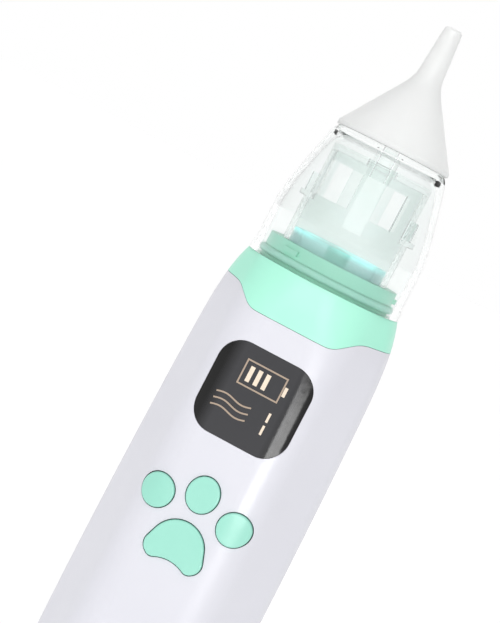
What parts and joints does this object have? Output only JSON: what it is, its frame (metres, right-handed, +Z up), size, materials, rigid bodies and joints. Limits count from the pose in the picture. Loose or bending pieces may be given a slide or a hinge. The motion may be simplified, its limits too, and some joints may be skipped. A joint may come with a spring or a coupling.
{
  "type": "electric nasal aspirator",
  "caption": "Handheld cordless suction aspirator: soft nozzle over a clear collecting cup and neck, on a faceted upright body with a screen and paw-shaped push buttons.",
  "frame": {"origin": "centre of the base pad's underside", "axes": "+Z up the long axis towards the nozzle, -Y towards the screen and buttons, +X to the right of the screen"},
  "size_m": [0.0458, 0.0427, 0.19],
  "materials": {
    "shell_white": "gloss moulded ABS",
    "mint_plastic": "satin moulded ABS",
    "button_mint": "satin moulded ABS",
    "clear_plastic": "clear moulded polycarbonate",
    "clear_insert": "clear moulded polycarbonate",
    "clear_silicone": "translucent white silicone",
    "silicone": "soft white silicone",
    "light_guide": "clear light guide, lit cyan",
    "black_window": "polished black acrylic",
    "display": "black display block",
    "grey_rubber": "matt rubber",
    "black_rubber": "matt rubber",
    "foam": "open foam",
    "circuit_board": "green solder mask",
    "component_black": "moulded",
    "battery_wrap": "shrink wrap",
    "frame_plastic": "moulded ABS",
    "steel": "drawn steel",
    "steel_dark": "ground steel",
    "screw_steel": "zinc plated"
  },
  "bodies": {
    "handle": {"housing_front": "shell_white", "housing_back": "shell_white", "base_cap": "shell_white", "collar": "mint_plastic", "neck": "mint_plastic", "cup_seal": "silicone", "light_ring": "light_guide", "screen_window": "black_window", "display_module": "display", "base_pad": "grey_rubber", "key_membrane": "silicone", "motor_sleeve": "grey_rubber", "suction_tube": "silicone", "pump_diaphragm": "black_rubber", "exhaust_silencer": "foam", "main_board": "circuit_board", "charge_board": "circuit_board", "led_board": "circuit_board", "tact_switches": "component_black", "speaker": "component_black", "battery_cell": "battery_wrap", "inner_frame": "frame_plastic", "motor_can": "steel", "usb_socket": "steel", "pump_base": "frame_plastic", "pump_head": "frame_plastic", "board_screws": "screw_steel", "pump_screws": "screw_steel", "neck_screws": "screw_steel", "base_screws": "screw_steel"},
    "button_toe_left": {"button_toe_left": "button_mint"},
    "button_toe_middle": {"button_toe_middle": "button_mint"},
    "button_toe_right": {"button_toe_right": "button_mint"},
    "button_pad": {"button_pad": "button_mint"},
    "cup": {"cup": "clear_plastic"},
    "insert": {"cup_insert": "clear_insert"},
    "nozzle": {"nozzle": "clear_silicone"},
    "rotor": {"motor_rotor": "steel_dark"}
  },
  "joints": [
    {"name": "toe_left_press", "type": "slide", "parent": "handle", "child": "button_toe_left", "axis": [0, 1, 0], "range_m": [0, 0.0005], "stiffness_N_per_m": 1500},
    {"name": "toe_middle_press", "type": "slide", "parent": "handle", "child": "button_toe_middle", "axis": [0, 1, 0], "range_m": [0, 0.0005], "stiffness_N_per_m": 1500},
    {"name": "toe_right_press", "type": "slide", "parent": "handle", "child": "button_toe_right", "axis": [0, 1, 0], "range_m": [0, 0.0005], "stiffness_N_per_m": 1500},
    {"name": "pad_press", "type": "slide", "parent": "handle", "child": "button_pad", "axis": [0, 1, 0], "range_m": [0, 0.0005], "stiffness_N_per_m": 1500},
    {"name": "cup_pull", "type": "slide", "parent": "handle", "child": "cup", "axis": [0, 0, 1], "range_m": [0, 0.07]},
    {"name": "insert_pull", "type": "slide", "parent": "handle", "child": "insert", "axis": [0, 0, 1], "range_m": [0, 0.035]},
    {"name": "nozzle_pull", "type": "slide", "parent": "cup", "child": "nozzle", "axis": [0, 0, 1], "range_m": [0, 0.02]},
    {"name": "motor_spin", "type": "hinge", "parent": "handle", "child": "rotor", "pos_m": [0, 0.0055, 0.08], "axis": [0, 0, 1], "continuous": true}
  ],
  "couplings": [
    {"joint": "insert_pull", "follows": "cup_pull", "ratio": 0.5}
  ]
}
